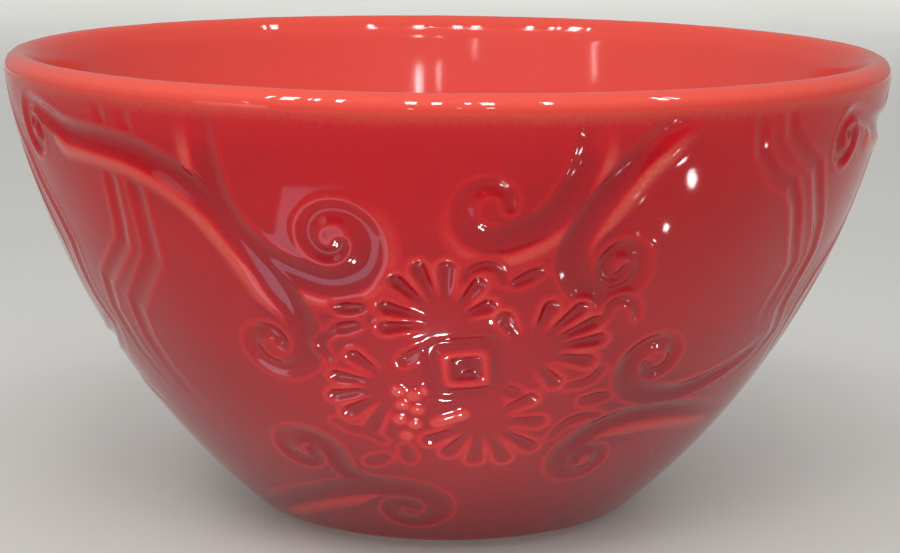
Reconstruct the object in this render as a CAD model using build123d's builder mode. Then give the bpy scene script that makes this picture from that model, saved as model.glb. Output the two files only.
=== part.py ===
"""A deep, thick-walled round bowl in glossy red glaze, on a shallow foot ring.

Built as the real one is: a moulded clay body with a full-round lip, a foot ring luted under it,
and four coats of glaze, over the wall, the lip, the inside and the underside within the foot.
Every piece is turned about the Z axis, with the ground at Z = 0.
"""
import os
from math import sqrt

from build123d import *

# Driving dimensions, in millimetres
rim_diameter = 150.0        # widest, across the glazed lip
overall_height = 80.0       # ground to the top of the glazed lip
wall_curve = 128.0          # radius of the wall's arc in side view, on the glazed outside
clay_wall = 4.2             # fired clay, square to the wall
floor_thickness = 5.0       # fired clay between the underside and the floor
glaze = 0.5                 # each coat of glaze
foot_diameter = 54.0        # outside of the foot ring, under its glaze
foot_width = 5.0            # foot ring, outside to inside
foot_height = 2.4           # ground to the clay underside
foot_rounding = 0.7         # standing edges of the foot ring
bare_strip = 0.3            # side of the foot left bare above its rounded edge
base_overhang = 5.3         # glazed edge of the underside beyond the glazed foot, before rounding
base_rounding = 3.0         # glazed edge between the underside and the wall
floor_rounding = 40.0       # glazed hollow between the floor and the wall

# Sizes that follow from them
foot_radius = foot_diameter / 2
foot_bore = foot_radius - foot_width
glaze_line = foot_rounding + bare_strip
wall_thickness = clay_wall + 2 * glaze
lip_radius = wall_thickness / 2
lip_centre = Vector(rim_diameter / 2 - lip_radius, overall_height - lip_radius)
base_edge = Vector(foot_radius + glaze + base_overhang, foot_height - glaze)

# The faces of the wall are arcs about one centre, beyond the bowl's axis. In half section, with
# X out from the axis and Y up, the outside face meets the base edge and the middle of the wall
# meets the centre of the lip.
span = lip_centre - base_edge
reach = (wall_curve**2 - (wall_curve - lip_radius) ** 2 + span.length**2) / (2 * span.length)
rise = sqrt(wall_curve**2 - reach**2)
along = span.normalized()
wall_centre = base_edge + along * reach + along.rotate(Axis.Z, 90) * rise
outward = (lip_centre - wall_centre).normalized()

# Depths of the wall's faces, in from the glazed outside
GLAZED_OUTSIDE = 0.0
CLAY_OUTSIDE = glaze
CLAY_INSIDE = wall_thickness - glaze
GLAZED_INSIDE = wall_thickness


def lip_end(depth):
    """Point where the round of the lip meets the wall's face at this depth."""
    return lip_centre + outward * (lip_radius - depth)


def wall_point(height, depth):
    """Point of the wall's face at this height and depth."""
    across = sqrt((wall_curve - depth) ** 2 - (wall_centre.Y - height) ** 2)
    return Vector(wall_centre.X + across, height)


def draw_wall(height, depth):
    """Wall's face from this height up to the lip."""
    top = lip_end(depth)
    return ThreePointArc(wall_point(height, depth), wall_point((height + top.Y) / 2, depth), top)


def draw_lip(depth):
    """Round of the lip, from the outside over to the inside."""
    crown = lip_centre + outward.rotate(Axis.Z, 90) * (lip_radius - depth)
    return ThreePointArc(lip_end(depth), crown, lip_end(wall_thickness - depth))


def outside_line(depth):
    """Half section of the outside at this depth: underside beyond the foot, edge and wall."""
    under = foot_height - glaze + depth
    with BuildLine() as line:
        underside = Line((foot_radius + glaze - depth, under), wall_point(under, depth))
        draw_wall(under, depth)
        edge = line.vertices().sort_by_distance(underside @ 1)[0]
        fillet(edge, base_rounding - depth)
    return line.line


def inside_line(depth):
    """Half section of the inside at this depth: floor, hollow and wall."""
    cover = GLAZED_INSIDE - depth
    floor = foot_height + floor_thickness + glaze - cover
    with BuildLine() as line:
        flat = Line((0, floor), wall_point(floor, depth))
        draw_wall(floor, depth)
        hollow = line.vertices().sort_by_distance(flat @ 1)[0]
        fillet(hollow, floor_rounding + cover)
    return line.line


# Each face between two pieces is drawn once, and both pieces take it
glazed_outside = outside_line(GLAZED_OUTSIDE)
clay_outside = outside_line(CLAY_OUTSIDE)
clay_inside = inside_line(CLAY_INSIDE)
glazed_inside = inside_line(GLAZED_INSIDE)

# Clay body: underside, wall, lip and floor
with BuildPart() as clay_body:
    with BuildSketch(Plane.XZ):
        with BuildLine():
            Line((0, foot_height), (foot_radius, foot_height))
            add(clay_outside)
            draw_lip(CLAY_OUTSIDE)
            add(clay_inside)
            Line((0, foot_height + floor_thickness), (0, foot_height))
        make_face()
    revolve(axis=Axis.Z)

# Foot ring, luted to the underside, with its standing edges rounded
with BuildPart() as foot_ring:
    with BuildSketch(Plane.XZ) as foot_section:
        with Locations(((foot_bore + foot_radius) / 2, 0)):
            Rectangle(foot_width, foot_height, align=(Align.CENTER, Align.MIN))
        fillet(foot_section.vertices().group_by(Axis.Z)[0], foot_rounding)
    revolve(axis=Axis.Z)

# Coat on the wall, underside and side of the foot, down to the wiped line above the ground
with BuildPart() as outer_glaze:
    with BuildSketch(Plane.XZ):
        with BuildLine():
            add(glazed_outside)
            Line(lip_end(GLAZED_OUTSIDE), lip_end(CLAY_OUTSIDE))
            add(clay_outside)
            Polyline(
                (foot_radius, foot_height),
                (foot_radius, glaze_line),
                (foot_radius + glaze, glaze_line),
                (foot_radius + glaze, foot_height - glaze),
            )
        make_face()
    revolve(axis=Axis.Z)

# Coat over the round of the lip
with BuildPart() as lip_glaze:
    with BuildSketch(Plane.XZ):
        with BuildLine():
            draw_lip(GLAZED_OUTSIDE)
            Line(lip_end(GLAZED_OUTSIDE), lip_end(CLAY_OUTSIDE))
            draw_lip(CLAY_OUTSIDE)
            Line(lip_end(CLAY_INSIDE), lip_end(GLAZED_INSIDE))
        make_face()
    revolve(axis=Axis.Z)

# Coat poured over the inside
with BuildPart() as inner_glaze:
    with BuildSketch(Plane.XZ):
        with BuildLine():
            add(glazed_inside)
            Line(lip_end(GLAZED_INSIDE), lip_end(CLAY_INSIDE))
            add(clay_inside)
            Line(clay_inside @ 0, glazed_inside @ 0)
        make_face()
    revolve(axis=Axis.Z)

# Coat on the underside within the foot ring
with BuildPart() as base_glaze:
    with BuildSketch(Plane.XY.offset(foot_height - glaze)):
        Circle(foot_bore)
    extrude(amount=glaze)

pieces = {
    "clay_body": clay_body,
    "foot_ring": foot_ring,
    "outer_glaze": outer_glaze,
    "lip_glaze": lip_glaze,
    "inner_glaze": inner_glaze,
    "base_glaze": base_glaze,
}
os.makedirs("parts", exist_ok=True)
for name, piece in pieces.items():
    piece.part.label = name
    export_step(piece.part, f"parts/{name}.step")
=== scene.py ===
"""A thick-walled red bowl with moulded scrolls, straps and palmettes, dressed around its solids.

The relief is laid out on the unrolled wall: degrees round from the front, plus to the right, and
millimetres up the wall from its base edge. Half sections are drawn in millimetres too, as radius
and height, and MM brings them to metres when a mesh is made.
"""
import math
from typing import NamedTuple

import bpy
import numpy as np
from mathutils import Matrix, Quaternion, Vector


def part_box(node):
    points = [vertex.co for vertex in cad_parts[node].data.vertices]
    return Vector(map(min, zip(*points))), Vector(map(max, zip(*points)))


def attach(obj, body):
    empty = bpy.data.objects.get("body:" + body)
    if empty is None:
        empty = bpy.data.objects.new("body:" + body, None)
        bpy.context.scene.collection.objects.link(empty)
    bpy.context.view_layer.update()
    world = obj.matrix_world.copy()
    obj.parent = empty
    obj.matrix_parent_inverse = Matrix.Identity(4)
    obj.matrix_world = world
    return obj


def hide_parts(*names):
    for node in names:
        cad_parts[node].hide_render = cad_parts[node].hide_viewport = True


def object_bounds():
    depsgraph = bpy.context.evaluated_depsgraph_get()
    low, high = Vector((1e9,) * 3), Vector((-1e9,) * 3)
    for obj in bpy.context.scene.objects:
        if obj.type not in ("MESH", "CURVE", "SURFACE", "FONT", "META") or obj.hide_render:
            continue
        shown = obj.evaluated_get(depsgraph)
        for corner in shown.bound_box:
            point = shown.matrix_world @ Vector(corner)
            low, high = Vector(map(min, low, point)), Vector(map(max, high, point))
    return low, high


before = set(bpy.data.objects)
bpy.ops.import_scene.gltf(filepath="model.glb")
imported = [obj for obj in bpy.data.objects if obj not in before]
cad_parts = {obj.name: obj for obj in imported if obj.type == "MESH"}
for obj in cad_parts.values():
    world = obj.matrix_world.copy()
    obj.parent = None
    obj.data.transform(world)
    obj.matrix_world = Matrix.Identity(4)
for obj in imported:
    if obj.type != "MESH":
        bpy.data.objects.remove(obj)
cad_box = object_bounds()

MM = 0.001

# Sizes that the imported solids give, in millimetres
RIM_RADIUS = cad_box[1].x / MM
HEIGHT = cad_box[1].z / MM
FOOT_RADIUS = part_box("foot_ring")[1].x / MM
FOOT_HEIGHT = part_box("foot_ring")[1].z / MM
FOOT_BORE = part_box("base_glaze")[1].x / MM
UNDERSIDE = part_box("base_glaze")[0].z / MM
GLAZE = FOOT_HEIGHT - UNDERSIDE
GLAZE_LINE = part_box("outer_glaze")[0].z / MM
CLAY_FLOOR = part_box("inner_glaze")[0].z / MM

# Sizes of the section that no box gives, in millimetres
WALL_CURVE = 128.0          # radius of the wall's arc in side view, on the glazed outside
WALL_THICKNESS = 5.2        # clay and both coats
BASE_OVERHANG = 5.3         # underside's edge beyond the glazed foot
BASE_ROUNDING = 3.0         # glazed edge between the underside and the wall
FLOOR_ROUNDING = 40.0       # glazed hollow between the floor and the wall
FOOT_ROUNDING = 0.7         # standing edges of the foot
LIP_EASE = 2.5              # how far below the round of the lip its inner side eases into the wall
LIP_SAG = 0.10              # most that the lip's coat lies below its round
GLAZE_CREEP = 0.6           # radius of the fillet of the underside's coat against the foot

LIP_RADIUS = WALL_THICKNESS / 2
LIP_CENTRE = np.array([RIM_RADIUS - LIP_RADIUS, HEIGHT - LIP_RADIUS])
BASE_EDGE = np.array([FOOT_RADIUS + GLAZE + BASE_OVERHANG, UNDERSIDE])


def find_wall_centre():
    """Centre of the wall's arcs, which lies beyond the bowl's axis."""
    span = LIP_CENTRE - BASE_EDGE
    length = np.hypot(*span)
    along = span / length
    reach = (WALL_CURVE**2 - (WALL_CURVE - LIP_RADIUS) ** 2 + length**2) / (2 * length)
    rise = math.sqrt(WALL_CURVE**2 - reach**2)
    return BASE_EDGE + along * reach + np.array([-along[1], along[0]]) * rise


def angle_of(offset):
    """Angle of an offset in the half section, in radians up from level."""
    return math.atan2(offset[1], offset[0])


WALL_CENTRE = find_wall_centre()
BASE_ANGLE = angle_of(BASE_EDGE - WALL_CENTRE)
LIP_ANGLE = angle_of(LIP_CENTRE - WALL_CENTRE)
WALL_LENGTH = WALL_CURVE * (LIP_ANGLE - BASE_ANGLE)

# Fineness of the meshes
PANELS = 3
PANEL_ANGLE = 360 / PANELS
PANEL_COLUMNS = 440
COLUMN_STEP = PANEL_ANGLE / PANEL_COLUMNS
COLUMNS = PANELS * PANEL_COLUMNS
ROWS = 301
BACK_STEP = 5               # rows of the relief to one ring on the hidden back of its coat
CLAY_STEP = 3               # rows and columns of the relief to one on the clay under it
PLAIN_COLUMNS = 240
LIP_COLUMNS = 2 * PLAIN_COLUMNS
EDGE_POINTS = 10            # on the rounded edge of the base
LIP_POINTS = 28             # over the lip's coat
CLAY_LIP_POINTS = 14        # over the clay of the lip
LINER_POINTS = 60           # on the hollow of the floor, and again on the wall above it
HIDDEN_POINTS = 24          # the same under the coat
EASE_POINTS = 9             # where the wall eases into the lip
SMALL_ARC_POINTS = 8        # on the roundings of the foot and the fillet against it
SHARP_ANGLE = math.radians(62)
HIDDEN_WEIGHT = 0.05        # picture space of a span of a coat's hidden back, where a shown one has 1
LIP_HIDDEN_WEIGHT = 0.15    # the same under the lip's coat

# Half sections


def arc(centre, radius, start, end, count):
    """Points of an arc from angle start to end, in radians."""
    turn = np.linspace(start, end, count)
    return np.stack([centre[0] + radius * np.cos(turn), centre[1] + radius * np.sin(turn)], -1)


def corner(level, curve, rounding):
    """Centre of the rounding between a level and a wall's arc, and its angle where it meets the arc."""
    height = level + rounding
    across = math.sqrt((curve - rounding) ** 2 - (WALL_CENTRE[1] - height) ** 2)
    return np.array([WALL_CENTRE[0] + across, height]), math.atan2(height - WALL_CENTRE[1], across)


def base_edge_line(depth, count):
    """Half section of the underside beyond the foot and its rounded edge, at this depth of coat."""
    level = UNDERSIDE + depth
    centre, end = corner(level, WALL_CURVE - depth, BASE_ROUNDING - depth)
    start = [FOOT_RADIUS + GLAZE - depth, level]
    return np.vstack([start, arc(centre, BASE_ROUNDING - depth, -math.pi / 2, end, count)])


def lip_side(along, half):
    """Distance of the lip's inner face from its middle line, at a distance along from its centre.

    The face runs as an ellipse from the crown of the lip down to where the ease ends. half is half
    the thickness that it belongs to.
    """
    share = np.clip((along + LIP_EASE) / (half + LIP_EASE), 0, 1)
    return half * np.sqrt(1 - share**2)


def inside_line(cover, count):
    """Half section of the inside, from the axis over the floor to the lip, under this much cover."""
    level = CLAY_FLOOR + GLAZE - cover
    half = LIP_RADIUS - cover
    curve = WALL_CURVE - LIP_RADIUS - half
    centre, start = corner(level, curve, FLOOR_ROUNDING + cover)
    floor = [[0, level], [centre[0] / 2, level]]
    hollow = arc(centre, FLOOR_ROUNDING + cover, -math.pi / 2, start, count)
    ease = LIP_ANGLE - LIP_EASE / curve
    turn = np.append(np.linspace(start, ease, count)[1:], np.linspace(ease, LIP_ANGLE, EASE_POINTS)[1:])
    reach = WALL_CURVE - LIP_RADIUS - lip_side((turn - LIP_ANGLE) * curve, half)
    wall = WALL_CENTRE + reach[:, None] * np.stack([np.cos(turn), np.sin(turn)], -1)
    return np.vstack([floor, hollow, wall])


def lip_line(depth, count):
    """Half section of the lip, from the outside over to the inside, at this depth of coat."""
    half = LIP_RADIUS - depth
    turn = np.linspace(0, math.pi, count)
    along = half * np.sin(turn)
    across = np.where(turn < math.pi / 2, half * np.cos(turn), -lip_side(along, half))
    outward = np.array([math.cos(LIP_ANGLE), math.sin(LIP_ANGLE)])
    upward = np.array([-outward[1], outward[0]])
    return LIP_CENTRE + across[:, None] * outward + along[:, None] * upward


# Ornament of one panel. A place is degrees round and millimetres up the wall.


class Scroll(NamedTuple):
    """A band that runs along a stem and winds into an eye."""
    stem: list
    eye: tuple
    turns: float        # plus is against the clock
    end: float          # radius that the winding ends on
    halves: tuple       # half width at the start, where the winding begins and at the end
    ridge: int = 0      # side of a broad ridge, looking along the stem: 1 left, -1 right, 0 none
    fade: float = 0.0   # share of the band over which it sinks in at its start


class Strap(NamedTuple):
    """A band of straight runs with kinks, which fades out at its lower end."""
    points: list
    half: float


SCROLLS = {
    "rim_left": Scroll(
        [(-28.4, 90), (-28.4, 81), (-27.6, 74), (-25.2, 68.2), (-21.5, 64.2), (-17.5, 62.1)],
        (-13.7, 68.4), 1.28, 1.7, (2.0, 2.3, 1.0), ridge=-1,
    ),
    "long_left": Scroll(
        [(-52, 81.6), (-45, 81), (-39, 79.9), (-33.5, 77.2), (-29, 73.2), (-25.2, 67.5), (-22.3, 62),
         (-20, 57), (-18.7, 52)],
        (-24.2, 49.2), -1.05, 1.6, (1.9, 2.4, 1.0), ridge=-1,
    ),
    "band_start": Scroll(
        [(-45, 81), (-52, 81.8), (-57, 83.4), (-60.8, 84.6)],
        (-61.7, 80.2), 1.1, 1.5, (1.9, 1.8, 0.9),
    ),
    "rim_right": Scroll(
        [(16.2, 90), (15.9, 83), (15, 78.5), (13.2, 74.2), (10.8, 71.2), (8, 69.5)],
        (5.2, 74), -0.85, 2.6, (2.0, 2.1, 0.8), ridge=1,
    ),
    "long_right": Scroll(
        [(28.5, 90), (24.8, 85), (21.6, 81), (18.6, 76), (16.6, 72), (15.3, 68), (15.4, 64),
         (17.2, 60.8), (20.2, 59.2)],
        (21.5, 63.8), 1.25, 1.4, (1.9, 2.1, 0.9), ridge=1,
    ),
    "side_right": Scroll(
        [(58, 45.5), (52, 42), (46, 39.4), (40, 38), (34.5, 38.2), (30, 39.6)],
        (31.6, 45.4), -1.15, 1.7, (1.4, 1.9, 0.9), fade=0.25,
    ),
    "low_right": Scroll(
        [(60, 29), (52, 31.2), (45, 32.8), (38, 34), (31, 33.8), (26, 32.2), (22.6, 28.8)],
        (26, 24.4), 1.2, 1.5, (1.4, 1.9, 0.9), ridge=1, fade=0.25,
    ),
    "low_left": Scroll(
        [(-6, 19), (-10, 19), (-15, 19.4), (-18.6, 21.6), (-19.3, 25)],
        (-25.5, 25.7), 1.1, 1.5, (1.3, 2.0, 0.9), fade=0.15,
    ),
    "base": Scroll(
        [(-60, 2), (-46, 7), (-38, 10.4), (-30, 13.4), (-22, 16.2), (-14, 18), (-7, 17.8), (-2, 15.6)],
        (-7.8, 11.6), -1.0, 1.6, (1.5, 2.2, 1.0), ridge=-1, fade=0.2,
    ),
}
STRAPS = {
    "left_outer": Strap(
        [(-44.2, 90), (-44.2, 77), (-44.8, 68), (-45.6, 64), (-49.5, 60), (-54, 56), (-56, 50),
         (-55, 42), (-51, 34)], 1.2,
    ),
    "left_inner": Strap(
        [(-40, 90), (-40, 76), (-40.1, 66), (-40.5, 62), (-44, 57.5), (-48.6, 52.5), (-49.4, 46),
         (-48, 39), (-44, 30)], 1.5,
    ),
    "right_inner": Strap(
        [(37.2, 90), (39.2, 80.5), (42.2, 76.8), (46.3, 74.6), (48.8, 70.5), (51.6, 64), (53.6, 60),
         (52.4, 55), (51.8, 51.5), (54, 46)], 1.2,
    ),
    "right_outer": Strap(
        [(42, 90), (44, 83), (47.5, 79.5), (51, 77), (53.8, 71.5), (57, 66), (58.6, 61),
         (57.4, 55.5), (57, 51), (59.5, 46), (57, 41.5), (50, 36)], 1.3,
    ),
}

# The medallion: a square boss among four palmettes, with hooks, leaves and beads between them, in
# millimetres across and up from its middle.


class Palmette(NamedTuple):
    """Petals that fan out from a base."""
    base: tuple
    petals: list        # direction in degrees against the clock from the right, and length


MEDALLION = (2.2, 44.6)
PALMETTES = {
    "upper": Palmette(
        (-2.4, 10.2),
        [(187, 10.2), (164, 10.6), (136, 11.6), (114, 11.6), (91, 10.8), (57, 9.4), (27, 8.0)],
    ),
    "right": Palmette(
        (9.6, 4.6),
        [(118, 8.6), (68, 10.2), (44, 12.4), (26, 13.0), (9, 12.8), (-13, 11.4), (-52, 9.0)],
    ),
    "lower": Palmette(
        (3.4, -9.2),
        [(31, 9.8), (-5, 10.2), (-39, 11.6), (-67, 11.2), (-94, 10.6), (-122, 10.0), (-149, 10.2)],
    ),
    "left": Palmette((-9.4, -2.2), [(139, 10.0), (171, 10.6), (195, 11.2), (219, 10.8), (247, 11.2)]),
}
HOOKS = [
    [(0.0, 17.6), (1.1, 19.5), (3.2, 20.2), (5.1, 19.3), (5.8, 17.4)],
    [(21.6, 10.2), (22.5, 12.6), (24.5, 13.4), (26.4, 12.2), (26.9, 10.0)],
    [(-19.2, 7.8), (-20.9, 6.4), (-21.0, 4.4), (-19.6, 2.8)],
    [(-19.0, -10.4), (-16.6, -12.0), (-14.0, -12.4), (-11.4, -14.4)],
    [(14.6, -13.6), (16.6, -11.0), (19.4, -9.6), (22.0, -9.4)],
    [(16.4, -2.6), (18.6, -2.2), (20.6, -1.2), (21.8, 0.6)],
]
LEAVES = [
    [(7.6, 17.2), (10.8, 18.9)], [(19.4, -6.0), (23.0, -5.4)], [(-7.9, -16.0), (-7.2, -18.6)],
    [(-11.0, -18.4), (-13.4, -19.9)], [(-15.6, 9.3), (-18.6, 8.4)], [(-15.0, 12.6), (-18.0, 12.2)],
    [(-5.8, 5.4), (-8.6, 2.8)], [(6.4, -2.4), (8.8, -3.8)],
]
BEADS = [
    [(-9.3, -3.2)], [(-6.9, -4.0)], [(-4.9, -2.8)], [(-8.6, -6.0)], [(-6.3, -7.0)], [(-8.9, -9.2)],
    [(-6.6, -10.2)], [(-7.8, -12.9)], [(0.6, -7.9), (-3.2, -9.7)],
]
BOSS = (0.7, 1.5)           # middle of the boss
BOSS_HALF = 3.6             # half side of the square boss
BOSS_TURN = math.radians(6)
BOSS_CREST = 2.9            # middle of the boss to the crest of its frame
BOSS_HOLLOW = (1.4, 1.1)    # middle of the boss to the middle of the hollow in it, and half width
BOSS_MOAT = (5.0, 1.5)      # middle of the boss to the middle of the hollow round it, and half width
BOSS_DEPTHS = (0.8, 0.6)    # of the hollow in it and of the one round it
BOSS_SQUARENESS = 6         # 2 is round, and more is squarer

GROOVE_DEPTH = 0.62
STRAP_DEPTH = 0.28
GROOVE_SOFT = 1.35          # reach of a groove's soft side, as a share of its half width
BEAD = 0.16                 # height of the thin raised line beside a groove
BEAD_WIDTH = 0.5
BEAD_GAP = 0.5              # groove's half width to the middle of that line
RIDGE = 0.38                # height of a broad ridge along one side of a stem
RIDGE_WIDTH = 1.35
RIDGE_GAP = 1.35            # groove's half width to the crest of the ridge
RIDGE_STOPS = (0.0, 0.6, 0.8)   # shares of the path: start, last of its full height, and end
PETAL_DEPTH = 0.62
PETAL_START = 0.36          # inner end of a petal, as a share of its length
PETAL_HALF = (0.5, 1.3)     # half width at the inner end and at the tip
PETAL_FLAT = 0.25           # share of the half width over which the hollow is level
PETAL_FADE = (0.15, 0.5)    # depth at the inner end, and share along the petal from which it is full
HOOK_HALVES = (0.4, 0.75, 0.4)
HOOK_DEPTH = 0.5
LEAF_HALVES = (0.7, 1.1, 0.8)
LEAF_DEPTH = 0.6
RIM = (0.34, 0.32, 0.40)    # height of the rim round a petal, its place from the edge and its width
BEAD_DOME = (0.75, 1.25)    # height and radius of a round or drawn-out bead
PETAL_MARGIN = 4.0          # reach of a petal or bead beyond its path, with room to spare
PATH_STEP = 0.3             # between the points of a path
LEAST_STEPS = 2             # on the shortest run of a path
TURN_POINTS = 12            # given points to a turn of a winding
WINDING_EASE = 0.8          # 1 winds in evenly, and less winds in sooner
WIDTH_STOPS = (0.0, 0.6, 1.0)   # shares of the path at which its three half widths hold
STRAP_END = 0.45            # share of a strap over which it fades out
NECK = (0.04, 85.0, 1.4)    # depth of the hollow under the lip, its height up the wall and its width
PLAIN_TOP = (0.6, 2.4)      # bare strip under the lip, and the strip over which the relief sets in
PLAIN_BASE = (2.5, 3.0)     # the same above the base edge
SHALLOW_STEPS = (10, 54)    # up the wall
SHALLOW_SHARE = (0.35, 1.0)     # how much of the relief's depth there is at each
COVER_DEPTH = 0.15          # a groove this deep, or a line this high, hides what it crosses
COVER_HEIGHT = 0.10
LINE_STOP = 0.25            # a raised line ends where a groove is this deep
RELIEF_PASSES = 2           # of blur over the whole relief

WALL_STEPS = np.linspace(0, WALL_LENGTH, ROWS)


def wall_radius(up):
    """Radius of the smooth outside at a distance up the wall."""
    return WALL_CENTRE[0] + WALL_CURVE * np.cos(BASE_ANGLE + np.asarray(up) / WALL_CURVE)


def per_degree(up):
    """Millimetres round the wall to a degree."""
    return np.radians(wall_radius(up))


def shares_between(start, end):
    """Shares of the way from one place to another, a path's step apart, up to but without 1."""
    length = math.hypot((end[0] - start[0]) * per_degree(start[1]), end[1] - start[1])
    return np.linspace(0, 1, max(LEAST_STEPS, int(length / PATH_STEP)), endpoint=False)[:, None]


def through(points):
    """Close-set points of a smooth curve through points."""
    given = np.array(points, float)
    knots = np.vstack([2 * given[0] - given[1], given, 2 * given[-1] - given[-2]])
    spans = []
    for a, b, c, d in zip(knots, knots[1:], knots[2:], knots[3:]):
        t = shares_between(b, c)
        bend = (2 * a - 5 * b + 4 * c - d) * t**2 + (3 * b - a - 3 * c + d) * t**3
        spans.append(b + 0.5 * ((c - a) * t + bend))
    return np.vstack([*spans, given[-1:]])


def straight(points):
    """Close-set points of straight runs through points."""
    given = np.array(points, float)
    runs = [b + (c - b) * shares_between(b, c) for b, c in zip(given, given[1:])]
    return np.vstack([*runs, given[-1:]])


def winding(start, eye, turns, end_radius):
    """Points of the spiral from the end of a stem in towards the eye."""
    scale = per_degree(eye[1])
    offset = np.array([(start[0] - eye[0]) * scale, start[1] - eye[1]])
    share = np.linspace(0, 1, int(abs(turns) * TURN_POINTS) + 1)[1:]
    radius = np.hypot(*offset) + (end_radius - np.hypot(*offset)) * share**WINDING_EASE
    turn = angle_of(offset) + turns * 2 * math.pi * share
    return list(zip(eye[0] + radius * np.cos(turn) / scale, eye[1] + radius * np.sin(turn)))


def nearest(path, margin):
    """Cells of the panel round a path, their distance to it, their share along it and their side."""
    low, high = path.min(0), path.max(0)
    reach = margin / per_degree(max(low[1], 0))
    rows = np.flatnonzero((WALL_STEPS > low[1] - margin) & (WALL_STEPS < high[1] + margin))
    first, last = (low[0] - reach) / COLUMN_STEP, (high[0] + reach) / COLUMN_STEP
    columns = np.arange(math.floor(first), math.ceil(last) + 1)
    up = WALL_STEPS[rows][:, None]
    around = columns * COLUMN_STEP
    run = np.gradient(path, axis=0)
    best = np.full((len(rows), len(columns)), np.inf)
    share = np.zeros_like(best)
    side = np.zeros_like(best)
    for index, (angle, level) in enumerate(path):
        x, y = (around - angle) * per_degree(up), up - level
        distance = np.hypot(x, y)
        closer = distance < best
        left = run[index, 0] * per_degree(level) * y - run[index, 1] * x
        best[closer] = distance[closer]
        share[closer] = index / (len(path) - 1)
        side[closer] = np.sign(left)[closer]
    return np.ix_(rows, columns % PANEL_COLUMNS), best, share, side


def swell(reach):
    """Soft hump: 1 at no reach, 0 from a reach of 1 on."""
    return 0.5 + 0.5 * np.cos(math.pi * np.clip(reach, 0, 1))


def line(offset, height, place, width):
    """Height of a raised line, or depth of a hollow one, at an offset."""
    return height * np.exp(-(((offset - place) / width) ** 2))


def carve(cut, rise, path, halves, depth, ridge=0, fade=(0.0, 0.0)):
    """A soft groove along a path, with a thin raised line on either side and perhaps a broad ridge."""
    margin = GROOVE_SOFT * max(halves) + RIDGE_GAP + 2 * RIDGE_WIDTH
    cells, distance, share, side = nearest(path, margin)
    half = np.interp(share, WIDTH_STOPS, halves)
    strength = np.interp(share, (0, fade[0], 1 - fade[1], 1), (fade[0] == 0, 1, 1, fade[1] == 0))
    beyond = distance - half
    broad = line(beyond, RIDGE, RIDGE_GAP, RIDGE_WIDTH) * np.interp(share, RIDGE_STOPS, (1, 1, 0))
    raised = np.maximum(line(beyond, BEAD, BEAD_GAP, BEAD_WIDTH), np.where(side == ridge, broad, 0))
    trough = depth * swell(distance / (GROOVE_SOFT * half))
    cut[cells] = np.maximum(cut[cells], strength * trough)
    rise[cells] = np.maximum(rise[cells], strength * raised)


def layer():
    """Empty depths and heights of one layer of the ornament."""
    return np.zeros((ROWS, PANEL_COLUMNS)), np.zeros((ROWS, PANEL_COLUMNS))


def lay_over(relief, cut, rise):
    """A layer of ornament over what is there, which it covers where it has a shape of its own."""
    cover = np.clip(np.maximum(cut / COVER_DEPTH, rise / COVER_HEIGHT), 0, 1)
    return relief * (1 - cover) + rise * np.clip(1 - cut / LINE_STOP, 0, 1) - cut


def on_wall(point):
    """Place on the wall of a point in millimetres across and up from the middle of the medallion."""
    up = MEDALLION[1] + point[1]
    return MEDALLION[0] + point[0] / per_degree(up), up


def petal_path(base, direction, length):
    """Path along the middle of a petal, from its inner end to where its tip is rounded off."""
    turn = math.radians(direction)
    ray = np.array([math.cos(turn), math.sin(turn)])
    reaches = (length * PETAL_START, length - PETAL_HALF[1])
    return straight([on_wall(np.array(base) + reach * ray) for reach in reaches])


def press_petal(cut, rise, path):
    """A petal: a hollow that widens and deepens to its tip, in a thin raised rim."""
    cells, distance, share, _ = nearest(path, PETAL_MARGIN)
    half = np.interp(share, (0, 1), PETAL_HALF)
    strength = np.interp(share, (0, PETAL_FADE[1]), (PETAL_FADE[0], 1))
    hollow = PETAL_DEPTH * swell((distance / half - PETAL_FLAT) / (1 - PETAL_FLAT))
    cut[cells] = np.maximum(cut[cells], strength * hollow)
    rise[cells] = np.maximum(rise[cells], strength * line(distance - half, *RIM))


def medallion_layer():
    """Palmettes with hooks, leaves and beads between them."""
    cut, rise = layer()
    for base, petals in PALMETTES.values():
        for direction, length in petals:
            press_petal(cut, rise, petal_path(base, direction, length))
    for points in HOOKS:
        carve(cut, rise, through([on_wall(point) for point in points]), HOOK_HALVES, HOOK_DEPTH)
    for points in LEAVES:
        carve(cut, rise, straight([on_wall(point) for point in points]), LEAF_HALVES, LEAF_DEPTH)
    for points in BEADS:
        path = straight([on_wall(point) for point in (points[0], points[-1])])
        cells, distance, _, _ = nearest(path, PETAL_MARGIN)
        dome = BEAD_DOME[0] * np.clip(1 - (distance / BEAD_DOME[1]) ** 2, 0, 1)
        rise[cells] = np.maximum(rise[cells], dome)
    return cut, rise


def boss_layer():
    """The square boss in the middle of the medallion: a button in a frame, with hollows round both."""
    cut, rise = layer()
    columns = np.arange(-PANEL_COLUMNS // 2, PANEL_COLUMNS // 2)
    up = WALL_STEPS[:, None] - MEDALLION[1] - BOSS[1]
    across = (columns * COLUMN_STEP - MEDALLION[0]) * per_degree(MEDALLION[1]) - BOSS[0]
    x = across * math.cos(BOSS_TURN) + up * math.sin(BOSS_TURN)
    y = up * math.cos(BOSS_TURN) - across * math.sin(BOSS_TURN)
    square = (x**BOSS_SQUARENESS + y**BOSS_SQUARENESS) ** (1 / BOSS_SQUARENESS)
    cells = np.ix_(np.arange(ROWS), columns % PANEL_COLUMNS)
    inner = swell(np.abs(square - BOSS_HOLLOW[0]) / BOSS_HOLLOW[1])
    outer = swell(np.abs(square - BOSS_MOAT[0]) / BOSS_MOAT[1])
    cut[cells] = np.maximum(BOSS_DEPTHS[0] * inner, BOSS_DEPTHS[1] * outer)
    rise[cells] = line(square, RIM[0], BOSS_CREST, BOSS_HALF - BOSS_CREST)
    return cut, rise


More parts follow.
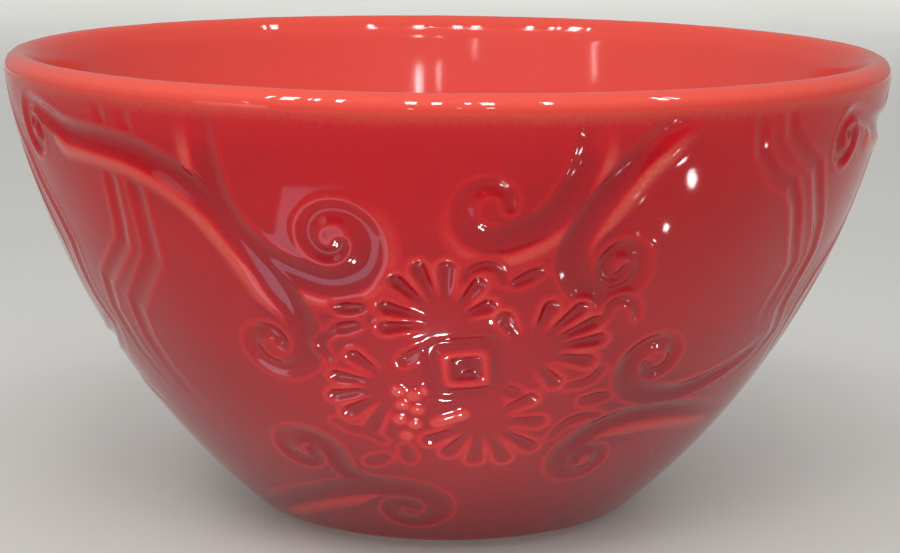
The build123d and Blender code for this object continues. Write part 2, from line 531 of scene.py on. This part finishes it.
def soften(field, passes):
    """Blur of a field that runs on round the columns and stops at the first and last rows."""
    for _ in range(passes):
        field = (np.roll(field, 1, 1) + 2 * field + np.roll(field, -1, 1)) / 4
        padded = np.vstack([field[:1], field, field[-1:]])
        field = (padded[:-2] + 2 * padded[1:-1] + padded[2:]) / 4
    return field


def make_relief():
    """Height of the moulded outside over the smooth wall, in millimetres, for every row and column."""
    straps, scrolls = layer(), layer()
    for points, half in STRAPS.values():
        carve(*straps, straight(points), (half,) * len(WIDTH_STOPS), STRAP_DEPTH, fade=(0, STRAP_END))
    for scroll in SCROLLS.values():
        path = through(scroll.stem + winding(scroll.stem[-1], scroll.eye, scroll.turns, scroll.end))
        carve(*scrolls, path, scroll.halves, GROOVE_DEPTH, scroll.ridge, (scroll.fade, 0))
    relief = np.zeros((ROWS, PANEL_COLUMNS))
    for cut, rise in (straps, scrolls, medallion_layer(), boss_layer()):
        relief = lay_over(relief, cut, rise)
    below_lip = np.clip((WALL_LENGTH - WALL_STEPS - PLAIN_TOP[0]) / PLAIN_TOP[1], 0, 1)
    above_base = np.clip((WALL_STEPS - PLAIN_BASE[0]) / PLAIN_BASE[1], 0, 1)
    depth = below_lip * above_base * np.interp(WALL_STEPS, SHALLOW_STEPS, SHALLOW_SHARE)
    relief = relief * depth[:, None] - line(WALL_STEPS, *NECK)[:, None]
    return np.tile(soften(relief, RELIEF_PASSES), (1, PANELS))


# Meshes


def put(name, data):
    """A new object in the scene."""
    thing = bpy.data.objects.new(name, data)
    bpy.context.scene.collection.objects.link(thing)
    return thing


def ring_points(radius, height, poles):
    """Points of rings about the axis, in metres, and the number of each ring's point at each column."""
    rings, columns = radius.shape
    around = np.radians(np.arange(columns) * 360 / columns)
    points = np.stack([radius * np.sin(around), -radius * np.cos(around), height], -1) * MM
    index = np.arange(rings * columns).reshape(rings, columns)
    if poles:
        index[0] = 0
        index[1:-1] -= columns - 1
        index[-1] = index[-2].max() + 1
        points = np.vstack([points[0, :1], points[1:-1].reshape(-1, 3), points[-1, :1]])
    return points.reshape(-1, 3), index


def ring_faces(index, weights, poles):
    """Faces between rings as numbers of points, and their corners' places in the picture space."""
    rings, columns = index.shape
    spans = len(weights)
    level = np.concatenate([[0], np.cumsum(weights) / np.sum(weights)])
    following = np.roll(np.arange(columns), -1)
    left = np.arange(columns) / columns
    right = left + 1 / columns
    across = np.stack([left, right, right, left], -1)
    faces, pictures = [], []
    for low in range(spans):
        high = (low + 1) % rings
        quad = np.stack([index[low], index[low][following], index[high][following], index[high]], -1)
        up = np.broadcast_to(level[[low, low, low + 1, low + 1]], across.shape)
        keep = [0, 1, 2, 3]
        if poles and low == 0:
            keep = [1, 2, 3]
        if poles and low == spans - 1:
            keep = [0, 1, 2]
        faces.append(quad[:, keep])
        pictures.append(np.stack([across, up], -1)[:, keep])
    return faces, pictures


def fill_mesh(mesh, points, faces, pictures):
    """A smooth mesh takes its points, its faces and its picture space."""
    mesh.vertices.add(len(points))
    mesh.vertices.foreach_set("co", points.astype(np.float32).ravel())
    corners = np.concatenate([face.ravel() for face in faces])
    sizes = np.concatenate([np.full(len(face), face.shape[1]) for face in faces])
    mesh.loops.add(len(corners))
    mesh.loops.foreach_set("vertex_index", corners.astype(np.int32))
    mesh.polygons.add(len(sizes))
    mesh.polygons.foreach_set("loop_start", (np.cumsum(sizes) - sizes).astype(np.int32))
    mesh.update(calc_edges=True)
    space = mesh.uv_layers.new(name="OFBake")
    space.data.foreach_set("uv", np.concatenate([p.ravel() for p in pictures]).astype(np.float32))
    mesh.shade_smooth()


def turned(name, radius, height, weights=None, poles=False):
    """Closed mesh of rings about the axis.

    radius and height hold a row for each ring, in millimetres. With poles, the first and last rings
    lie on the axis and each becomes one point; without, the last ring joins the first. weights says
    how much of the picture space each span between rings takes.
    """
    if weights is None:
        weights = np.ones(len(radius) - 1 if poles else len(radius))
    points, index = ring_points(radius, height, poles)
    mesh = bpy.data.meshes.new(name)
    fill_mesh(mesh, points, *ring_faces(index, weights, poles))
    return put(name, mesh)


def span_weights(shown, hidden, hidden_weight):
    """Picture space of a coat's spans between rings: 1 for a shown one, less for a hidden one."""
    return np.concatenate([np.full(shown, 1.0), np.full(hidden, hidden_weight)])


def give_values(piece, name, values):
    """A number at every point of a mesh, for its material to read."""
    attribute = piece.data.attributes.new(name, "FLOAT", "POINT")
    attribute.data.foreach_set("value", np.ascontiguousarray(values, np.float32).ravel())


def repeat_round(section, columns):
    """Half section repeated round the bowl: its radius and height, a row for each point."""
    return np.repeat(section[:, :1], columns, 1), np.repeat(section[:, 1:], columns, 1)


def ripple(columns, rings, seed, waves):
    """Soft unevenness from 0 to 1, round the bowl and along its section."""
    random = np.random.default_rng(seed)
    around = np.arange(columns) * 2 * math.pi / columns
    along = np.linspace(0, 2 * math.pi, rings)[:, None]
    total = np.zeros((rings, columns))
    for wave in waves:
        phase = random.uniform(0, 2 * math.pi, 2)
        total += np.sin(wave * around + phase[0] + np.sin(along + phase[1])) / len(waves)
    return 0.5 + 0.5 * total


# Materials


MIX_INPUTS = (0, 6, 7)      # sockets of a colour mix: share, first colour and second
MIX_OUTPUT = 2


class Nodes:
    """Short way to add and link the nodes of one material."""

    def __init__(self, name):
        self.material = bpy.data.materials.new(name)
        self.material.use_nodes = True
        self.tree = self.material.node_tree
        self.shader = self.tree.nodes["Principled BSDF"]

    def add(self, kind, links=(), **values):
        """A node with these settings, its sockets linked or set."""
        node = self.tree.nodes.new(kind)
        for key, value in values.items():
            setattr(node, key, value)
        for socket, source in dict(links).items():
            self.set(node.inputs[socket], source)
        return node

    def set(self, socket, source):
        """A socket is linked to another socket, or set to a value."""
        if isinstance(source, bpy.types.NodeSocket):
            self.tree.links.new(source, socket)
        else:
            socket.default_value = source

    def finish(self, **sockets):
        """The material, with these sockets of its shader linked or set."""
        for name, source in sockets.items():
            self.set(self.shader.inputs[name.replace("_", " ")], source)
        return self.material

    def place(self):
        """Place in the piece's own space."""
        return self.add("ShaderNodeTexCoord").outputs["Object"]

    def noise(self, scale, detail):
        """Noise over the piece's own space."""
        links = {"Vector": self.place(), "Scale": scale, "Detail": detail}
        return self.add("ShaderNodeTexNoise", links).outputs["Fac"]

    def value(self, name):
        """Number that the mesh holds at its points."""
        return self.add("ShaderNodeAttribute", attribute_name=name).outputs["Fac"]

    def ramp(self, source, stops):
        """Colour that follows a source through stops."""
        node = self.add("ShaderNodeValToRGB", {"Fac": source})
        while len(node.color_ramp.elements) < len(stops):
            node.color_ramp.elements.new(0.5)
        for element, (place, colour) in zip(node.color_ramp.elements, stops):
            element.position = place
            element.color = (*colour, 1)
        return node.outputs["Color"]

    def height(self):
        """Height in the piece's own space."""
        return self.add("ShaderNodeSeparateXYZ", {"Vector": self.place()}).outputs["Z"]

    def scaled(self, source, low, high, start=0.0, end=1.0):
        """Value from low to high while a source runs from start to end."""
        links = {"Value": source, "From Min": start, "From Max": end, "To Min": low, "To Max": high}
        return self.add("ShaderNodeMapRange", links).outputs["Result"]

    def mix(self, share, first, second):
        """Colour between two colours."""
        links = zip(MIX_INPUTS, (share, first, second))
        return self.add("ShaderNodeMix", links, data_type="RGBA").outputs[MIX_OUTPUT]

    def sum(self, first, second, share):
        """First value and a share of the second."""
        links = {0: second, 1: share, 2: first}
        return self.add("ShaderNodeMath", links, operation="MULTIPLY_ADD").outputs[0]

    def bump(self, height, strength, distance):
        """Normal of a surface with these heights."""
        links = {"Height": height, "Strength": strength, "Distance": distance}
        return self.add("ShaderNodeBump", links).outputs["Normal"]


THIN_AND_PAINTED_LIGHT = "thin"               # name of the numbers that say how thin the glaze lies, with painted light and shade mixed in
GLAZE_IOR = 1.65
# Noise: cells to a metre, and detail
GLAZE_CLOUDS = (55.0, 4.0)
GLAZE_GRAIN = (1500.0, 2.0)
GLAZE_PEEL = (420.0, 2.0)
CLAY_CLOUDS = (120.0, 5.0)
CLAY_GRIT = (2600.0, 3.0)
# How far clouds and grain move a glaze between pooled and thin
CLOUD_SHARE = 0.10
GRAIN_SHARE = 0.12
# Bumps: strength, and height in metres
PEEL_BUMP = (0.04, 0.2 * MM)
GRIT_BUMP = (0.35, 0.2 * MM)
CLAY_STOPS = [(0.3, (0.50, 0.36, 0.26)), (0.7, (0.66, 0.52, 0.40))]
CLAY_ROUGHNESS = (0.7, 0.95)
SPECK_STOPS = [(0.62, (0, 0, 0)), (0.72, (1, 1, 1))]
SPECK_STRENGTH = (0.0, 0.6)
SPECK_COLOUR = (0.22, 0.12, 0.08, 1)


def glaze_material(name, stops, roughness, gloss, heights=None):
    """Glossy red glaze that darkens where it pools and turns orange where it is thin, and so also shows
    the painted light and shade that its share of thin glaze carries.

    Its gloss is one value all over, or a pair. A pair runs from the first value to the second between
    two heights, or else from pooled glaze to thin glaze.
    """
    nodes = Nodes(name)
    clouds = nodes.noise(*GLAZE_CLOUDS)
    grain = nodes.noise(*GLAZE_GRAIN)
    thin = nodes.value(THIN_AND_PAINTED_LIGHT)
    share = nodes.sum(thin, nodes.scaled(clouds, -0.5, 0.5), CLOUD_SHARE)
    share = nodes.sum(share, nodes.scaled(grain, -0.5, 0.5), GRAIN_SHARE)
    if heights:
        gloss = nodes.scaled(nodes.height(), *gloss, *heights)
    elif isinstance(gloss, tuple):
        gloss = nodes.scaled(thin, *gloss)
    return nodes.finish(
        Base_Color=nodes.ramp(share, stops),
        Roughness=nodes.scaled(clouds, *roughness),
        IOR=GLAZE_IOR,
        Specular_IOR_Level=gloss,
        Normal=nodes.bump(nodes.noise(*GLAZE_PEEL), *PEEL_BUMP),
    )


def clay_material():
    """Bare fired clay: buff, cloudy, dry and gritty, with dark iron specks."""
    nodes = Nodes("fired_clay")
    grit = nodes.noise(*CLAY_GRIT)
    body = nodes.ramp(nodes.noise(*CLAY_CLOUDS), CLAY_STOPS)
    specks = nodes.scaled(nodes.ramp(grit, SPECK_STOPS), *SPECK_STRENGTH)
    return nodes.finish(
        Base_Color=nodes.mix(specks, body, SPECK_COLOUR),
        Roughness=nodes.scaled(grit, *CLAY_ROUGHNESS),
        Normal=nodes.bump(grit, *GRIT_BUMP),
    )


# Colours of pooled, plain and thin glaze. The wall's palest, pinkish stops, which crests reach, are
# partly a painted sheen.
RED_STOPS = [(0.0, (0.09, 0.001, 0.005)), (0.3, (0.25, 0.002, 0.008)), (0.5, (0.43, 0.0025, 0.008)),
             (0.65, (0.47, 0.006, 0.010)), (0.82, (0.55, 0.055, 0.040)), (1.0, (0.66, 0.17, 0.11))]
LIP_STOPS = [(0.0, (0.56, 0.043, 0.030)), (0.5, (0.63, 0.050, 0.034)), (1.0, (0.70, 0.077, 0.050))]
# The liner's colours are lighter and more orange than the wall's, partly as a painted light for the
# brighter inside of the bowl.
LINER_STOPS_WITH_PAINTED_LIGHT = [(0.0, (0.44, 0.010, 0.012)), (0.5, (0.68, 0.046, 0.036)), (1.0, (0.80, 0.115, 0.080))]
RED_ROUGHNESS = (0.04, 0.09)
LIP_ROUGHNESS = (0.02, 0.045)
LINER_ROUGHNESS = (0.06, 0.11)
GLOSS_HEIGHTS = (20 * MM, 66 * MM)
RED_GLOSS = (0.5, 0.2)      # at each of those heights
LIP_GLOSS = (0.2, 0.5)      # where it is pooled and where it is thin
LINER_GLOSS = 0.5

# How thin the glaze lies, with painted light and shade mixed in where noted: 0 is pooled and 1 is thin
# Up the wall the share is lower towards the base, partly as a painted shade, and rises over the last
# millimetres under the lip, partly as a painted light that carries the lip's brightness down into the
# wall.
RUN_STEPS = (0, 60, WALL_LENGTH - 6, WALL_LENGTH - 2.6, WALL_LENGTH - 1.3, WALL_LENGTH)
RUN_AND_PAINTED_LIGHT_SHARE = (0.30, 0.44, 0.49, 0.60, 0.69, 0.79)    # at those steps up the wall
# Over the lip the share rises fast on the lower outer side, partly as a painted light against the shade
# that falls there, and drops on the inner side, partly as a painted shade against the light it catches;
# the rest is thinner glaze at the rim.
LIP_TURNS = (0, 0.1, 0.24, 0.45, 1)
LIP_THIN_AND_PAINTED_LIGHT_SHARE = (0.0, 0.55, 1.0, 0.85, 0.8)             # at those shares of the way in over the lip
LINER_SHARE = (0.25, 0.66)  # on the floor and at the lip
UNDERSIDE_SHARE = 0.4       # within the foot
EDGE_SHARE = 0.5            # on the edge of the base, on the foot and on the hidden back
SPREAD_PASSES = 600         # of blur: how widely the glaze feels the relief about it
CROWD_LIMIT = 0.3           # deeper hollows and higher crests crowd a place no more
CROWD_START = 0.10          # mean depth or height of the relief about a place, from which it is crowded
CROWDING = 1.3              # how much crowded relief holds the glaze back
CREST = (0.05, 0.35)        # heights from which a crest sheds glaze and takes a painted sheen, and past which it gains no more
CREST_THIN_AND_PAINTED_SHEEN = 0.76           # how much a crest sheds glaze and takes a painted sheen, for the root of its height
POOLED_HOLLOW = 0.05        # how much a hollow gathers, for its depth
CALM_STEPS = (WALL_LENGTH - 7, WALL_LENGTH - 2)     # up the wall, where the relief ceases to draw glaze


def pooling_and_painted_light(relief):
    """Share of thin glaze: low in hollows, in crowded relief and low on the wall, high on crests. Low
    on the wall it is partly a painted shade, on crests partly a painted sheen, and just under the lip
    partly a painted light.

    The shallow relief low on the wall counts as if it had its full depth.
    """
    relief = relief / np.interp(WALL_STEPS, SHALLOW_STEPS, SHALLOW_SHARE)[:, None]
    crowd = soften(np.minimum(np.abs(relief), CROWD_LIMIT), SPREAD_PASSES)
    held = CROWDING * np.maximum(crowd - CROWD_START, 0)
    # Crests turn pale: thinner glaze, and partly a painted sheen and highlight.
    shed_and_painted_sheen = CREST_THIN_AND_PAINTED_SHEEN * np.sqrt(np.clip(relief, *CREST) - CREST[0])
    gain = shed_and_painted_sheen + POOLED_HOLLOW * np.minimum(relief, 0) - held
    calm = np.interp(WALL_STEPS, CALM_STEPS, (1, 0))[:, None]
    # the run up the wall: partly a painted shade low down and a painted light under the lip
    run = np.interp(WALL_STEPS, RUN_STEPS, RUN_AND_PAINTED_LIGHT_SHARE)[:, None]
    return np.clip(run + calm * gain, 0, 1)


# Pieces


LIP_WAVES = (7, 11, 17, 23, 37, 52)     # unevenness of the lip's coat, in waves to a turn
LIP_SEED = 5


def outside_rings(relief, depth):
    """Rings of the moulded outside at this depth of coat: base edge, then the wall with its relief.

    The third result says which rows of the relief lie on the wall, above the rounded edge.
    """
    edge_radius, edge_height = repeat_round(base_edge_line(depth, EDGE_POINTS), relief.shape[1])
    _, meeting = corner(UNDERSIDE + depth, WALL_CURVE - depth, BASE_ROUNDING - depth)
    turn = BASE_ANGLE + np.linspace(0, WALL_LENGTH, len(relief)) / WALL_CURVE
    above = turn > meeting
    turn = turn[above][:, None]
    reach = WALL_CURVE - depth + relief[above]
    radius = WALL_CENTRE[0] + reach * np.cos(turn)
    height = WALL_CENTRE[1] + reach * np.sin(turn)
    return np.vstack([edge_radius, radius]), np.vstack([edge_height, height]), above


def make_relief_glaze(relief):
    """Coat over the wall, the underside's edge and the side of the foot."""
    radius, height, above = outside_rings(relief, 0)
    back_radius, back_height, _ = outside_rings(relief[::BACK_STEP], GLAZE)
    foot = np.array([[FOOT_RADIUS, GLAZE_LINE], [FOOT_RADIUS + GLAZE, GLAZE_LINE]])
    foot_radius, foot_height = repeat_round(foot, COLUMNS)
    all_radius = np.vstack([foot_radius, radius, back_radius[::-1]])
    all_height = np.vstack([foot_height, height, back_height[::-1]])
    shown = len(foot_radius) + len(radius)
    weights = span_weights(shown, len(back_radius), HIDDEN_WEIGHT)
    piece = turned("relief_glaze", all_radius, all_height, weights)
    share = np.full(all_radius.shape, EDGE_SHARE)
    share[shown - above.sum():shown] = pooling_and_painted_light(relief)[above]
    give_values(piece, THIN_AND_PAINTED_LIGHT, share)
    return piece


def make_moulded_clay(relief):
    """Clay body under the coats, with the relief pressed into it."""
    radius, height, _ = outside_rings(relief[::CLAY_STEP, ::CLAY_STEP], GLAZE)
    columns = radius.shape[1]
    middle = repeat_round(np.array([[0, FOOT_HEIGHT]]), columns)
    lip = repeat_round(lip_line(GLAZE, CLAY_LIP_POINTS)[1:], columns)
    inside = repeat_round(inside_line(GLAZE, HIDDEN_POINTS)[::-1][1:], columns)
    return turned(
        "moulded_clay",
        np.vstack([middle[0], radius, lip[0], inside[0]]),
        np.vstack([middle[1], height, lip[1], inside[1]]),
        poles=True,
    )


def make_rim_glaze():
    """Coat over the round of the lip, a little uneven on its crown."""
    count = LIP_POINTS
    outer = lip_line(0, count)
    inner = lip_line(GLAZE, count)[::-1]
    radius, height = repeat_round(np.vstack([outer, inner]), LIP_COLUMNS)
    sag = LIP_SAG * ripple(LIP_COLUMNS, count, LIP_SEED, LIP_WAVES)
    sag *= np.sin(np.linspace(0, math.pi, count))[:, None]
    turn = np.linspace(LIP_ANGLE, LIP_ANGLE + math.pi, count)[:, None]
    radius[:count] -= sag * np.cos(turn)
    height[:count] -= sag * np.sin(turn)
    piece = turned("rim_glaze", radius, height, span_weights(count, count, LIP_HIDDEN_WEIGHT))
    # the lip's share holds a painted light on its lower outer side and a painted shade on its inner
    # side
    crown = np.interp(np.linspace(0, 1, count), LIP_TURNS, LIP_THIN_AND_PAINTED_LIGHT_SHARE)
    give_values(piece, THIN_AND_PAINTED_LIGHT, np.repeat(np.concatenate([crown, crown[::-1]]), LIP_COLUMNS))
    return piece


def make_liner():
    """Coat poured over the inside, pooled on the floor."""
    front = inside_line(0, LINER_POINTS)
    back = inside_line(GLAZE, HIDDEN_POINTS)[::-1]
    radius, height = repeat_round(np.vstack([front, back]), PLAIN_COLUMNS)
    weights = span_weights(len(front), len(back) - 1, HIDDEN_WEIGHT)
    piece = turned("bowl_liner", radius, height, weights, poles=True)
    rise = np.sqrt(np.clip((height - CLAY_FLOOR) / (LIP_CENTRE[1] - CLAY_FLOOR), 0, 1))
    share = np.interp(rise, (0, 1), LINER_SHARE)
    give_values(piece, THIN_AND_PAINTED_LIGHT, np.concatenate([share[0, :1], share[1:-1].ravel(), share[-1, :1]]))
    return piece


def make_underside_glaze():
    """Coat on the underside within the foot, with a small fillet against the foot."""
    middle = (FOOT_BORE - GLAZE_CREEP, UNDERSIDE - GLAZE_CREEP)
    fillet = arc(middle, GLAZE_CREEP, math.pi / 2, 0, SMALL_ARC_POINTS)
    face = [[0, UNDERSIDE], [FOOT_BORE / 2, UNDERSIDE]]
    back = [[FOOT_BORE, FOOT_HEIGHT], [0, FOOT_HEIGHT]]
    radius, height = repeat_round(np.vstack([face, fillet, back]), PLAIN_COLUMNS)
    piece = turned("underside_glaze", radius, height, poles=True)
    give_values(piece, THIN_AND_PAINTED_LIGHT, np.full(len(piece.data.vertices), UNDERSIDE_SHARE))
    return piece


def make_foot():
    """Bare foot ring, its standing edges rounded by wiping."""
    rounding = FOOT_ROUNDING
    outer = arc((FOOT_RADIUS - rounding, rounding), rounding, 0, -math.pi / 2, SMALL_ARC_POINTS)
    inner = arc((FOOT_BORE + rounding, rounding), rounding, -math.pi / 2, -math.pi, SMALL_ARC_POINTS)
    section = np.vstack([[FOOT_RADIUS, FOOT_HEIGHT], outer, inner, [FOOT_BORE, FOOT_HEIGHT]])
    radius, height = repeat_round(section, PLAIN_COLUMNS)
    return turned("wiped_foot", radius, height)


def dress(piece, node, material):
    """A finished piece takes the place of its solid."""
    piece.data.materials.append(material)
    piece.data.set_sharp_from_angle(angle=SHARP_ANGLE)
    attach(piece, "root")
    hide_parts(node)


def make_bowl():
    """Every piece of the bowl, with its finish."""
    relief = make_relief()
    red = glaze_material("red_glaze", RED_STOPS, RED_ROUGHNESS, RED_GLOSS, GLOSS_HEIGHTS)
    lip = glaze_material("lip_glaze", LIP_STOPS, LIP_ROUGHNESS, LIP_GLOSS)
    # the liner's lighter colours are partly a painted light
    liner = glaze_material("liner_glaze", LINER_STOPS_WITH_PAINTED_LIGHT, LINER_ROUGHNESS, LINER_GLOSS)
    clay = clay_material()
    dress(make_relief_glaze(relief), "outer_glaze", red)
    dress(make_underside_glaze(), "base_glaze", red)
    dress(make_rim_glaze(), "lip_glaze", lip)
    dress(make_liner(), "inner_glaze", liner)
    dress(make_moulded_clay(relief), "clay_body", clay)
    dress(make_foot(), "foot_ring", clay)


# Stage: camera, floor and light, in metres

IMAGE_WIDTH = 900
FOCAL_PIXELS = 2230.3
SENSOR_WIDTH = 36           # in millimetres
CLIP_START = 0.01
CAMERA_PLACE = Vector((0, -0.3834, 0.1138))
CAMERA_TARGET = Vector((0.00073, 0, 0.03983))
CAMERA_ROLL = 0.01
FLOOR_HALF = 4.0
FLOOR_CORNERS = ((-1, -1), (1, -1), (1, 1), (-1, 1))
FLOOR_CLOUDS = (6.0, 3.0)   # cells to a metre, and detail
FLOOR_STOPS = [(0.3, (0.53, 0.53, 0.505)), (0.7, (0.57, 0.57, 0.545))]
FLOOR_ROUGHNESS = 0.45
FLOOR_GLOW = (1.0, 1.0, 0.96, 1.0)
FLOOR_GLOW_STRENGTH = 0.08


def make_camera():
    """Camera at the photograph's viewing angle."""
    data = bpy.data.cameras.new("camera")
    data.sensor_width = SENSOR_WIDTH
    data.lens = FOCAL_PIXELS / IMAGE_WIDTH * SENSOR_WIDTH
    data.clip_start = CLIP_START
    camera = put("camera", data)
    aim = (CAMERA_TARGET - CAMERA_PLACE).to_track_quat("-Z", "Y").to_matrix().to_4x4()
    camera.matrix_world = Matrix.Translation(CAMERA_PLACE) @ aim @ Matrix.Rotation(CAMERA_ROLL, 4, "Z")
    bpy.context.scene.camera = camera


def make_floor():
    """Wide pale floor under the bowl."""
    mesh = bpy.data.meshes.new("floor")
    corners = [(x * FLOOR_HALF, y * FLOOR_HALF, 0) for x, y in FLOOR_CORNERS]
    mesh.from_pydata(corners, [], [(0, 1, 2, 3)])
    floor = put("floor", mesh)
    nodes = Nodes("floor")
    material = nodes.finish(
        Base_Color=nodes.ramp(nodes.noise(*FLOOR_CLOUDS), FLOOR_STOPS),
        Roughness=FLOOR_ROUGHNESS,
        Emission_Color=FLOOR_GLOW,
        Emission_Strength=FLOOR_GLOW_STRENGTH,
    )
    mesh.materials.append(material)


WIDE_BEAM = 180             # in degrees
AREA_SHARE = {"RECTANGLE": 1.0, "ELLIPSE": math.pi / 4}     # of width times depth
AIM = Vector((0, 0, 0.05))  # what the lights face
MID_HEIGHT = 0.06           # what their elevations are taken from


def area_light(name, place, rotation, size, radiance, tint=(1, 1, 1), beam=WIDE_BEAM, mirrored=True,
               shape="RECTANGLE"):
    """Flat light, as bright as radiance seen head on, that shines over a beam in degrees."""
    half = math.radians(beam) / 2
    gathered = 1 - half / math.tan(half)
    area = size[0] * size[1] * AREA_SHARE[shape]
    data = bpy.data.lights.new(name, "AREA")
    data.shape = shape
    data.size, data.size_y = size
    data.energy = radiance * math.pi * area * gathered
    data.color = tint
    data.spread = math.radians(beam)
    light = put(name, data)
    light.location = place
    light.rotation_euler = rotation
    light.visible_glossy = mirrored


def facing(place, lean=0.0):
    """Rotation of a light at a place that faces the bowl, leaning by an angle in degrees."""
    aim = (AIM - Vector(place)).to_track_quat("-Z", "Y")
    return (aim @ Quaternion((0, 0, 1), math.radians(lean))).to_euler()


def face_up(turn):
    """Rotation of a light that lies on its back, turned in degrees against the clock."""
    return math.pi, 0, math.radians(turn)


def from_bowl(azimuth, elevation, distance):
    """Place at a distance from the bowl, with azimuth round from the front, plus to the right."""
    a, e = math.radians(azimuth), math.radians(elevation)
    level = distance * math.cos(e)
    return Vector((level * math.sin(a), -level * math.cos(a), MID_HEIGHT + distance * math.sin(e)))


class SoftBox(NamedTuple):
    """A large flat light that faces the bowl."""
    azimuth: float
    elevation: float
    distance: float
    size: tuple
    radiance: float
    beam: float = WIDE_BEAM
    mirrored: bool = True       # whether the glaze mirrors it


OVERHEAD = SoftBox(20, 82, 1.1, (1.6, 1.3), 0.85, mirrored=False)
FRONT = SoftBox(0, 28, 1.0, (1.2, 0.6), 1.65, mirrored=False)
SIDE = SoftBox(-50, 2, 0.5, (0.17, 0.14), 1.7, beam=50)
# A wide light behind the bowl that faces down
BEHIND_PLACE = (-0.2, 1.5, 1.2)
BEHIND_SIZE = (2.8, 1.0)
BEHIND_RADIANCE = 8.5
BEHIND_BEAM = 70
FACE_DOWN = (0, 0, 0)
# Lamps in front, above the camera: azimuth, elevation, width and height in degrees, and radiance. Each
# leans outwards by half its azimuth, so that the lip mirrors it as a short spot.
LAMPS = (
    (-58, 52, 0.9, 14, 20), (-51.7, 52, 2.6, 18, 18), (-45, 52, 0.6, 12, 18), (-42, 52, 1.0, 14, 20),
    (-33, 52, 1.4, 16, 24), (-11, 52, 2.2, 16, 17), (-3.7, 52, 2.0, 14, 17), (6.5, 52, 1.2, 10, 15),
    (11.9, 52, 2.2, 16, 17), (31, 52, 1.4, 16, 20), (73.7, 52, 1.5, 16, 20), (79, 52, 0.8, 12, 18),
    (-49, 19, 0.8, 7, 9), (-8.5, 17, 0.7, 9, 9), (3, 25, 1.0, 4, 8), (10, 26, 1.8, 5, 14),
)
LAMP_DISTANCE = 0.9
# Small lights that lie on the floor, which the wall at the right and the medallion mirror: place, size
# and radiance
SPOTS = (
    (0.1384, -0.0985, 0.015, 0.007, 40), (0.109, -0.113, 0.003, 0.003, 60),
    (0.101, -0.089, 0.0040, 0.0026, 60), (-0.008, -0.083, 0.0034, 0.0034, 150),
    (-0.001, -0.082, 0.0034, 0.0034, 150),
)
SPOT_TURN = -37
# A pale sheen from the floor at the left, where the wall mirrors it
SHEEN_PLACE = (-0.062, -0.114)
SHEEN_SIZE = (0.036, 0.054)
SHEEN_TURN = -25
SHEEN_TINT = (0.72, 0.88, 1.15)
SHEEN_RADIANCE = 1.7
LOW_HEIGHT = 0.002          # of the lights that lie on the floor
SKY_COLOUR = (0.95, 0.93, 0.91, 1)
SKY_LEFT = 0.42             # brightness
SKY_RIGHT = 0.30


def make_surroundings():
    """Pale surroundings, dimmer on the right."""
    world = bpy.data.worlds.new("surroundings")
    bpy.context.scene.world = world
    world.use_nodes = True
    tree = world.node_tree
    background = tree.nodes["Background"]
    background.inputs["Color"].default_value = SKY_COLOUR
    direction = tree.nodes.new("ShaderNodeTexCoord")
    parts = tree.nodes.new("ShaderNodeSeparateXYZ")
    level = tree.nodes.new("ShaderNodeMapRange")
    for name, value in {"From Min": -1, "From Max": 1, "To Min": SKY_LEFT, "To Max": SKY_RIGHT}.items():
        level.inputs[name].default_value = value
    tree.links.new(direction.outputs["Generated"], parts.inputs["Vector"])
    tree.links.new(parts.outputs["X"], level.inputs["Value"])
    tree.links.new(level.outputs["Result"], background.inputs["Strength"])


def make_soft_box(name, box):
    """One soft box."""
    place = from_bowl(box.azimuth, box.elevation, box.distance)
    area_light(name, place, facing(place), box.size, box.radiance, beam=box.beam, mirrored=box.mirrored)


def make_lamps():
    """The row of lamps in front."""
    for number, (azimuth, elevation, width, height, radiance) in enumerate(LAMPS):
        place = from_bowl(azimuth, elevation, LAMP_DISTANCE)
        size = [math.radians(span) * LAMP_DISTANCE for span in (width, height)]
        area_light(f"lamp_{number}", place, facing(place, -azimuth / 2), size, radiance)


def make_low_lights():
    """Lights that lie on the floor: small spots and the sheen."""
    for number, (x, y, *size, radiance) in enumerate(SPOTS):
        place = (x, y, LOW_HEIGHT)
        area_light(f"spot_{number}", place, face_up(SPOT_TURN), size, radiance, shape="ELLIPSE")
    sheen = (*SHEEN_PLACE, LOW_HEIGHT)
    area_light("sheen", sheen, face_up(SHEEN_TURN), SHEEN_SIZE, SHEEN_RADIANCE, SHEEN_TINT)


def make_lights():
    """Soft boxes overhead, behind, in front and at the left, a row of lamps and lights on the floor."""
    make_soft_box("overhead", OVERHEAD)
    area_light("behind", BEHIND_PLACE, FACE_DOWN, BEHIND_SIZE, BEHIND_RADIANCE, beam=BEHIND_BEAM)
    make_soft_box("front", FRONT)
    make_soft_box("side", SIDE)
    make_lamps()
    make_low_lights()


bpy.context.scene.view_settings.view_transform = "Standard"
make_camera()
make_floor()
make_surroundings()
make_lights()
make_bowl()
